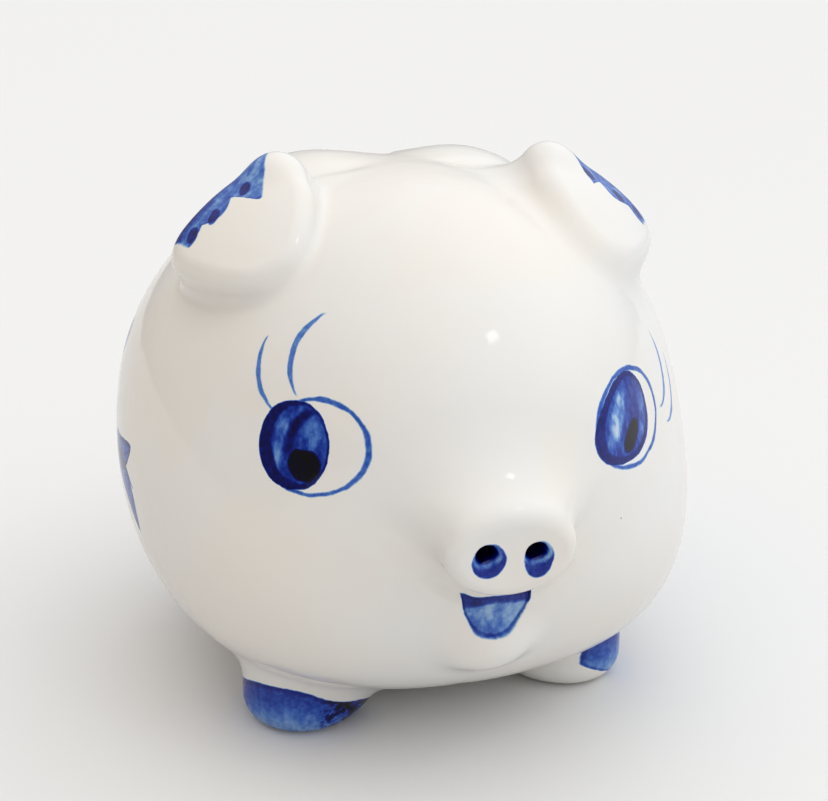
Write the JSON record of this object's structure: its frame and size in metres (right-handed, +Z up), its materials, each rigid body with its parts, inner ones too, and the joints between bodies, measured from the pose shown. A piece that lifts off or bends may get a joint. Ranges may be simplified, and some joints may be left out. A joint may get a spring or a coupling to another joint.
{
  "type": "piggy bank",
  "caption": "Round glazed earthenware pig coin bank with folded ears, disc snout, stub feet, a coin slot in the back and a soft pull-out belly stopper.",
  "frame": {"origin": "middle of the floor under the pig, on the plane its feet stand on", "axes": "+Z up, the pig faces -Y, X across the pig and normal to its plane of symmetry (+X is the pig's left)"},
  "size_m": [0.1126, 0.1382, 0.1051],
  "materials": {
    "body_shell": "glossy clear glaze over off-white earthenware with hand-painted cobalt blue",
    "snout": "glossy clear glaze over off-white earthenware with hand-painted cobalt blue",
    "ear_left": "glossy clear glaze over off-white earthenware with hand-painted cobalt blue",
    "ear_right": "glossy clear glaze over off-white earthenware with hand-painted cobalt blue",
    "front_left_foot": "glossy clear glaze over off-white earthenware with hand-painted cobalt blue",
    "front_right_foot": "glossy clear glaze over off-white earthenware with hand-painted cobalt blue",
    "rear_left_foot": "glossy clear glaze over off-white earthenware with hand-painted cobalt blue",
    "rear_right_foot": "glossy clear glaze over off-white earthenware with hand-painted cobalt blue",
    "tail": "glossy clear glaze over off-white earthenware with hand-painted cobalt blue",
    "stopper": "soft satin translucent white"
  },
  "bodies": {
    "bank": {"body_shell": "body_shell", "snout": "snout", "ear_left": "ear_left", "ear_right": "ear_right", "front_left_foot": "front_left_foot", "front_right_foot": "front_right_foot", "rear_left_foot": "rear_left_foot", "rear_right_foot": "rear_right_foot", "tail": "tail"},
    "stopper": {"stopper": "stopper"}
  },
  "joints": [
    {"name": "stopper_pull", "type": "slide", "parent": "bank", "child": "stopper", "axis": [0, 0, -1], "range_m": [0, 0.03]}
  ]
}
